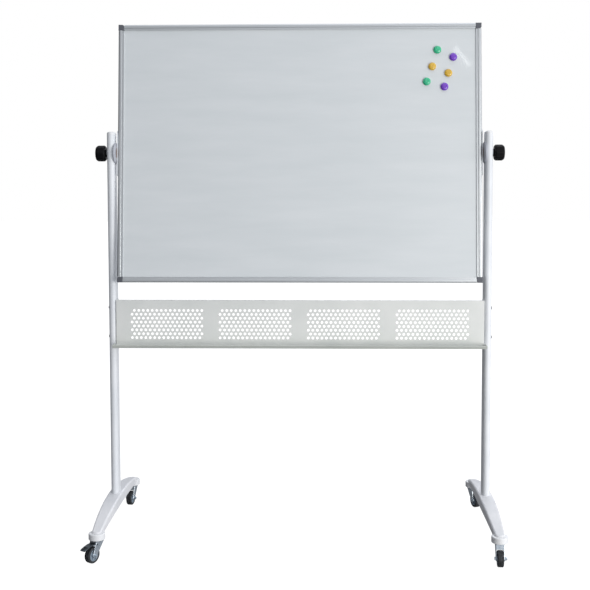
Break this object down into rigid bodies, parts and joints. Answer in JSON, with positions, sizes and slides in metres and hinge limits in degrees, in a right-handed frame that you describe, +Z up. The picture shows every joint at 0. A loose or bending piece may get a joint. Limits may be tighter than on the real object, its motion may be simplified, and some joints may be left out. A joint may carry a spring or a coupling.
{
  "type": "rolling whiteboard",
  "caption": "Double-sided whiteboard that turns over in a wheeled stand, with clamping side knobs, a perforated panel, a pen tray and swivel casters.",
  "frame": {"origin": "On the floor (Z = 0), midway between the two posts (X = 0), under the middle of the overall box. The posts stand with their middles at Y = 0.0178.", "axes": "+Z is up. The writer stands on the -Y side and sees +X on the right. At rest the board leans back 5 degrees, its top towards +Y."},
  "size_m": [1.349, 0.6365, 1.6968],
  "materials": {
    "white_powder_coat": "satin",
    "white_foot_casting": "satin",
    "white_plastic": "satin",
    "grey_white_panel": "satin",
    "tray_grey": "satin",
    "dark_steel": "satin",
    "zinc_steel": "satin",
    "white_enamel": "gloss",
    "core_board": "matte",
    "satin_aluminium": "satin",
    "grey_plastic": "satin",
    "fibre_washer": "matte",
    "black_plastic": "satin",
    "brass": "satin",
    "black_rubber": "matte",
    "grey_hub_plastic": "satin",
    "dark_pedal": "satin",
    "green_magnet_plastic": "gloss",
    "purple_magnet_plastic": "gloss",
    "amber_magnet_plastic": "gloss"
  },
  "bodies": {
    "stand": {"left_post": "white_powder_coat", "left_post_cap": "white_plastic", "left_foot": "white_foot_casting", "left_clutch_disc": "white_plastic", "right_post": "white_powder_coat", "right_post_cap": "white_plastic", "right_foot": "white_foot_casting", "right_clutch_disc": "white_plastic", "front_left_foot_pad": "white_plastic", "front_right_foot_pad": "white_plastic", "rear_left_foot_pad": "white_plastic", "rear_right_foot_pad": "white_plastic", "perforated_panel": "grey_white_panel", "pen_tray": "tray_grey", "panel_bolts": "dark_steel", "panel_nuts": "zinc_steel", "foot_bolts": "zinc_steel", "caster_stems": "zinc_steel"},
    "board": {"front_sheet": "white_enamel", "rear_sheet": "white_enamel", "board_core": "core_board", "top_profile": "satin_aluminium", "bottom_profile": "satin_aluminium", "left_profile": "satin_aluminium", "right_profile": "satin_aluminium", "corner_caps": "grey_plastic", "left_pivot_bracket": "white_powder_coat", "right_pivot_bracket": "white_powder_coat", "bracket_screws": "zinc_steel", "pivot_studs": "zinc_steel", "friction_washers": "fibre_washer"},
    "left_clamp": {"left_clamp_washer": "zinc_steel"},
    "left_knob": {"left_knob": "black_plastic", "left_knob_insert": "brass"},
    "right_clamp": {"right_clamp_washer": "zinc_steel"},
    "right_knob": {"right_knob": "black_plastic", "right_knob_insert": "brass"},
    "front_left_swivel": {"front_left_caster_fork": "zinc_steel", "front_left_axle_bolt": "zinc_steel"},
    "front_left_wheel": {"front_left_tyre": "black_rubber", "front_left_wheel_hub": "grey_hub_plastic"},
    "front_left_pedal": {"front_left_brake_pedal": "dark_pedal"},
    "front_right_swivel": {"front_right_caster_fork": "zinc_steel", "front_right_axle_bolt": "zinc_steel"},
    "front_right_wheel": {"front_right_tyre": "black_rubber", "front_right_wheel_hub": "grey_hub_plastic"},
    "rear_left_swivel": {"rear_left_caster_fork": "zinc_steel", "rear_left_axle_bolt": "zinc_steel"},
    "rear_left_wheel": {"rear_left_tyre": "black_rubber", "rear_left_wheel_hub": "grey_hub_plastic"},
    "rear_right_swivel": {"rear_right_caster_fork": "zinc_steel", "rear_right_axle_bolt": "zinc_steel"},
    "rear_right_wheel": {"rear_right_tyre": "black_rubber", "rear_right_wheel_hub": "grey_hub_plastic"},
    "magnet_green_upper": {"magnet_green_upper": "green_magnet_plastic"},
    "magnet_purple_upper": {"magnet_purple_upper": "purple_magnet_plastic"},
    "magnet_amber_upper": {"magnet_amber_upper": "amber_magnet_plastic"},
    "magnet_amber_lower": {"magnet_amber_lower": "amber_magnet_plastic"},
    "magnet_green_lower": {"magnet_green_lower": "green_magnet_plastic"},
    "magnet_purple_lower": {"magnet_purple_lower": "purple_magnet_plastic"}
  },
  "joints": [
    {"name": "board_turn", "type": "hinge", "parent": "stand", "child": "board", "pos_m": [0, 0.0178, 1.27], "axis": [1, 0, 0], "continuous": true},
    {"name": "left_clamp_travel", "type": "slide", "parent": "board", "child": "left_clamp", "axis": [-1, 0, 0], "range_m": [0, 0.003]},
    {"name": "left_knob_turn", "type": "hinge", "parent": "left_clamp", "child": "left_knob", "pos_m": [-0.6362, 0.0178, 1.27], "axis": [-1, 0, 0], "range_deg": [0, 720]},
    {"name": "right_clamp_travel", "type": "slide", "parent": "board", "child": "right_clamp", "axis": [1, 0, 0], "range_m": [0, 0.003]},
    {"name": "right_knob_turn", "type": "hinge", "parent": "right_clamp", "child": "right_knob", "pos_m": [0.6362, 0.0178, 1.27], "axis": [1, 0, 0], "range_deg": [0, 720]},
    {"name": "front_left_caster_swivel", "type": "hinge", "parent": "stand", "child": "front_left_swivel", "pos_m": [-0.622, -0.2572, 0.064], "axis": [0, 0, 1], "continuous": true},
    {"name": "front_left_wheel_roll", "type": "hinge", "parent": "front_left_swivel", "child": "front_left_wheel", "pos_m": [-0.633, -0.27625, 0.025], "axis": [0.866, -0.5, 0], "continuous": true},
    {"name": "front_left_brake_press", "type": "hinge", "parent": "front_left_swivel", "child": "front_left_pedal", "pos_m": [-0.628, -0.26759, 0.0565], "axis": [0.866, -0.5, 0], "range_deg": [0, 8]},
    {"name": "front_right_caster_swivel", "type": "hinge", "parent": "stand", "child": "front_right_swivel", "pos_m": [0.622, -0.2572, 0.064], "axis": [0, 0, 1], "continuous": true},
    {"name": "front_right_wheel_roll", "type": "hinge", "parent": "front_right_swivel", "child": "front_right_wheel", "pos_m": [0.62047, -0.27915, 0.025], "axis": [0.9976, -0.0698, 0], "continuous": true},
    {"name": "rear_left_caster_swivel", "type": "hinge", "parent": "stand", "child": "rear_left_swivel", "pos_m": [-0.622, 0.2928, 0.064], "axis": [0, 0, 1], "continuous": true},
    {"name": "rear_left_wheel_roll", "type": "hinge", "parent": "rear_left_swivel", "child": "rear_left_wheel", "pos_m": [-0.62544, 0.27107, 0.025], "axis": [0.9877, -0.1564, 0], "continuous": true},
    {"name": "rear_right_caster_swivel", "type": "hinge", "parent": "stand", "child": "rear_right_swivel", "pos_m": [0.622, 0.2928, 0.064], "axis": [0, 0, 1], "continuous": true},
    {"name": "rear_right_wheel_roll", "type": "hinge", "parent": "rear_right_swivel", "child": "rear_right_wheel", "pos_m": [0.62952, 0.27213, 0.025], "axis": [0.9397, 0.342, 0], "continuous": true},
    {"name": "green_upper_magnet_pull", "type": "slide", "parent": "board", "child": "magnet_green_upper", "axis": [0, -0.9962, 0.0872], "range_m": [0, 0.04]},
    {"name": "purple_upper_magnet_pull", "type": "slide", "parent": "board", "child": "magnet_purple_upper", "axis": [0, -0.9962, 0.0872], "range_m": [0, 0.04]},
    {"name": "amber_upper_magnet_pull", "type": "slide", "parent": "board", "child": "magnet_amber_upper", "axis": [0, -0.9962, 0.0872], "range_m": [0, 0.04]},
    {"name": "amber_lower_magnet_pull", "type": "slide", "parent": "board", "child": "magnet_amber_lower", "axis": [0, -0.9962, 0.0872], "range_m": [0, 0.04]},
    {"name": "green_lower_magnet_pull", "type": "slide", "parent": "board", "child": "magnet_green_lower", "axis": [0, -0.9962, 0.0872], "range_m": [0, 0.04]},
    {"name": "purple_lower_magnet_pull", "type": "slide", "parent": "board", "child": "magnet_purple_lower", "axis": [0, -0.9962, 0.0872], "range_m": [0, 0.04]}
  ],
  "couplings": [
    {"joint": "left_clamp_travel", "follows": "left_knob_turn", "m_per_rad": 0.00023873},
    {"joint": "right_clamp_travel", "follows": "right_knob_turn", "m_per_rad": 0.00023873}
  ]
}
